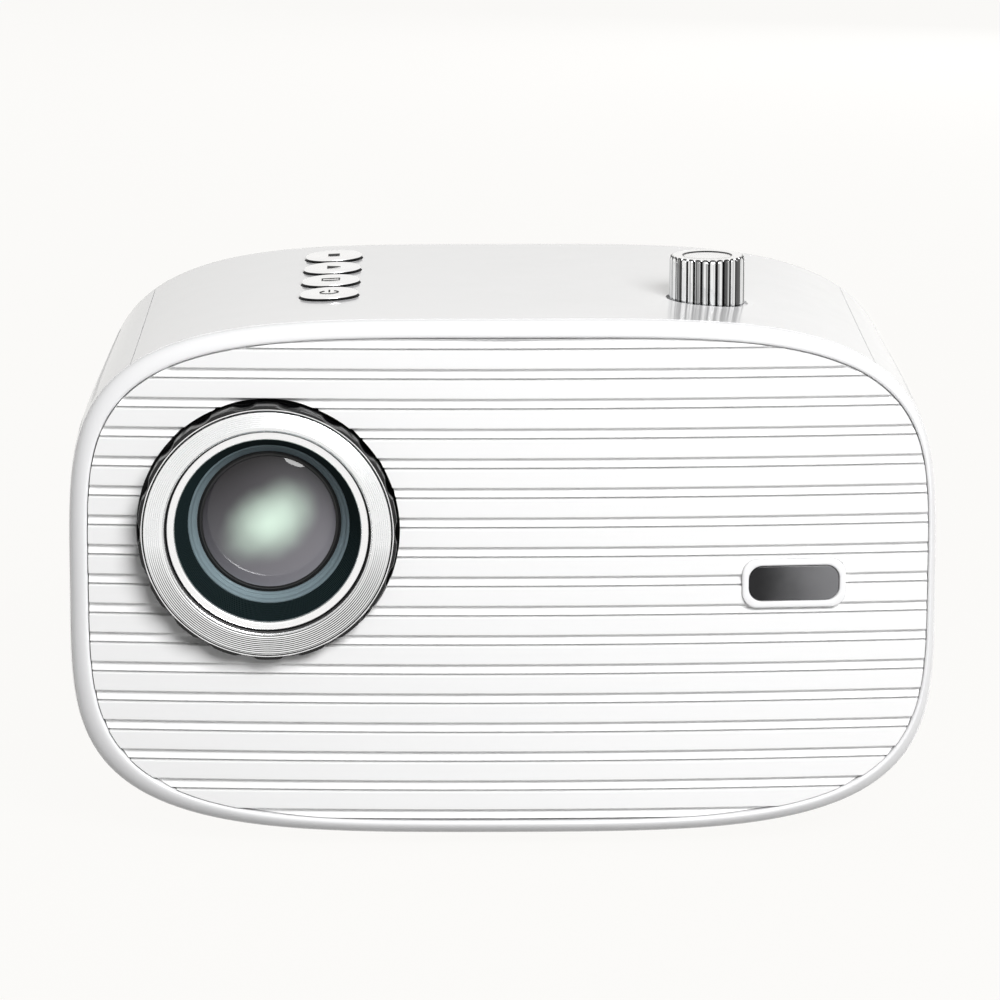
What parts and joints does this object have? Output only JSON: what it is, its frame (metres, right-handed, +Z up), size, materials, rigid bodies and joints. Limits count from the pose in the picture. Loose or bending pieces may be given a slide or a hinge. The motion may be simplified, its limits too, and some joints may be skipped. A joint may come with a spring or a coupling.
{
  "type": "video projector with a disc drive",
  "caption": "White tabletop projector with a ribbed front, off-centre lens with focus ring, round top buttons, fluted volume knob and a rear disc tray.",
  "frame": {"origin": "centre of the bounding box at the level of the feet", "axes": "-Y is the front with the lens, +X is to the right of a viewer who looks at the front, +Z is up"},
  "size_m": [0.239, 0.1486, 0.1581],
  "materials": {
    "shell_white": "smooth glossy white plastic",
    "window_smoke": "dark smoked window",
    "black_plastic": "fine matt black",
    "spun_metal": "silver, spun with fine rings",
    "chrome_trim": "bright chrome",
    "retainer_teal": "grey-teal satin",
    "lens_glass": "coated optical glass",
    "mirror_face": "silvered glass",
    "picture_panel": "dark glass panel in a frame",
    "engine_black": "matt black, moulded",
    "led_carrier": "light source on a white-yellow carrier",
    "sink_metal": "plain extruded metal",
    "sheet_steel": "zinc-coated sheet and turned steel",
    "deck_grey": "grey moulded plastic",
    "tray_black": "black satin plastic",
    "screw_brass": "turned brass",
    "board_green": "green circuit board with parts",
    "speaker_dark": "dark basket and cone",
    "foot_rubber": "black rubber"
  },
  "bodies": {
    "housing": {"front_rim": "shell_white", "ribbed_front_panel": "shell_white", "top_cover": "shell_white", "bottom_case": "shell_white", "left_side_panel": "shell_white", "right_side_panel": "shell_white", "rear_panel": "shell_white", "ir_bezel": "shell_white", "ir_window": "window_smoke", "ir_receiver": "board_green", "lens_mount": "black_plastic", "light_box": "engine_black", "folding_mirror": "mirror_face", "lcd_panel": "picture_panel", "fresnel_lenses": "lens_glass", "heat_glass": "lens_glass", "condenser_lens": "lens_glass", "led_module": "led_carrier", "heat_sink": "sink_metal", "fan_frame": "black_plastic", "inner_deck": "deck_grey", "button_board": "board_green", "volume_pot": "board_green", "drive_chassis": "sheet_steel", "drive_cover": "sheet_steel", "main_board": "board_green", "port_board": "board_green", "power_board": "board_green", "left_speaker": "speaker_dark", "right_speaker": "speaker_dark", "usb_hdmi_ports": "sheet_steel", "av_jacks": "black_plastic", "power_inlet": "black_plastic", "rubber_feet": "foot_rubber", "tripod_insert": "screw_brass", "case_screws": "sheet_steel"},
    "focus_ring": {"focus_ring_grip": "black_plastic", "focus_ring_face": "spun_metal"},
    "barrel": {"lens_barrel": "black_plastic", "barrel_trim": "chrome_trim", "lens_retainer": "retainer_teal", "front_lens": "lens_glass", "middle_lens": "lens_glass", "rear_lens": "lens_glass"},
    "fan": {"fan_rotor": "black_plastic"},
    "power_key": {"power_button": "chrome_trim"},
    "source_key": {"source_button": "chrome_trim"},
    "play_key": {"play_button": "chrome_trim"},
    "stop_key": {"stop_button": "chrome_trim"},
    "knob": {"volume_knob": "chrome_trim", "knob_shaft": "sheet_steel"},
    "tray": {"disc_tray": "tray_black", "tray_bezel": "shell_white", "spindle_motor": "sheet_steel", "sled_rods": "sheet_steel"},
    "eject": {"eject_button": "shell_white"},
    "rails": {"tray_rails": "sheet_steel"},
    "spindle": {"spindle_hub": "black_plastic"},
    "screw": {"sled_screw": "screw_brass"},
    "sled": {"laser_sled": "tray_black"}
  },
  "joints": [
    {"name": "focus_turn", "type": "hinge", "parent": "housing", "child": "focus_ring", "pos_m": [-0.0635, -0.06965, 0.0898], "axis": [0, -1, 0], "range_deg": [-60, 60]},
    {"name": "barrel_focus", "type": "slide", "parent": "housing", "child": "barrel", "axis": [0, -1, 0], "range_m": [-0.003, 0.003]},
    {"name": "fan_spin", "type": "hinge", "parent": "housing", "child": "fan", "pos_m": [0.0705, 0.02235, 0.0898], "axis": [1, 0, 0], "continuous": true},
    {"name": "power_press", "type": "slide", "parent": "housing", "child": "power_key", "axis": [0, 0, -1], "range_m": [0, 0.0008], "stiffness_N_per_m": 600},
    {"name": "source_press", "type": "slide", "parent": "housing", "child": "source_key", "axis": [0, 0, -1], "range_m": [0, 0.0008], "stiffness_N_per_m": 600},
    {"name": "play_press", "type": "slide", "parent": "housing", "child": "play_key", "axis": [0, 0, -1], "range_m": [0, 0.0008], "stiffness_N_per_m": 600},
    {"name": "stop_press", "type": "slide", "parent": "housing", "child": "stop_key", "axis": [0, 0, -1], "range_m": [0, 0.0008], "stiffness_N_per_m": 600},
    {"name": "volume_turn", "type": "hinge", "parent": "housing", "child": "knob", "pos_m": [0.0565, -0.02815, 0.14404], "axis": [0, 0, 1], "range_deg": [-150, 150]},
    {"name": "tray_slide", "type": "slide", "parent": "housing", "child": "tray", "axis": [0, 1, 0], "range_m": [0, 0.127]},
    {"name": "rails_slide", "type": "slide", "parent": "housing", "child": "rails", "axis": [0, 1, 0], "range_m": [0, 0.0635]},
    {"name": "eject_press", "type": "slide", "parent": "tray", "child": "eject", "axis": [0, -1, 0], "range_m": [0, 0.0008], "stiffness_N_per_m": 400},
    {"name": "spindle_spin", "type": "hinge", "parent": "tray", "child": "spindle", "pos_m": [0.018, 0.00835, 0.03575], "axis": [0, 0, 1], "continuous": true},
    {"name": "screw_turn", "type": "hinge", "parent": "tray", "child": "screw", "pos_m": [0.036, -0.02165, 0.03205], "axis": [0, 1, 0], "range_deg": [0, 3720]},
    {"name": "sled_slide", "type": "slide", "parent": "tray", "child": "sled", "axis": [0, -1, 0], "range_m": [0, 0.031]}
  ],
  "couplings": [
    {"joint": "focus_turn", "follows": "barrel_focus", "rad_per_m": 349},
    {"joint": "rails_slide", "follows": "tray_slide", "ratio": 0.5},
    {"joint": "screw_turn", "follows": "sled_slide", "rad_per_m": 2094.3}
  ]
}
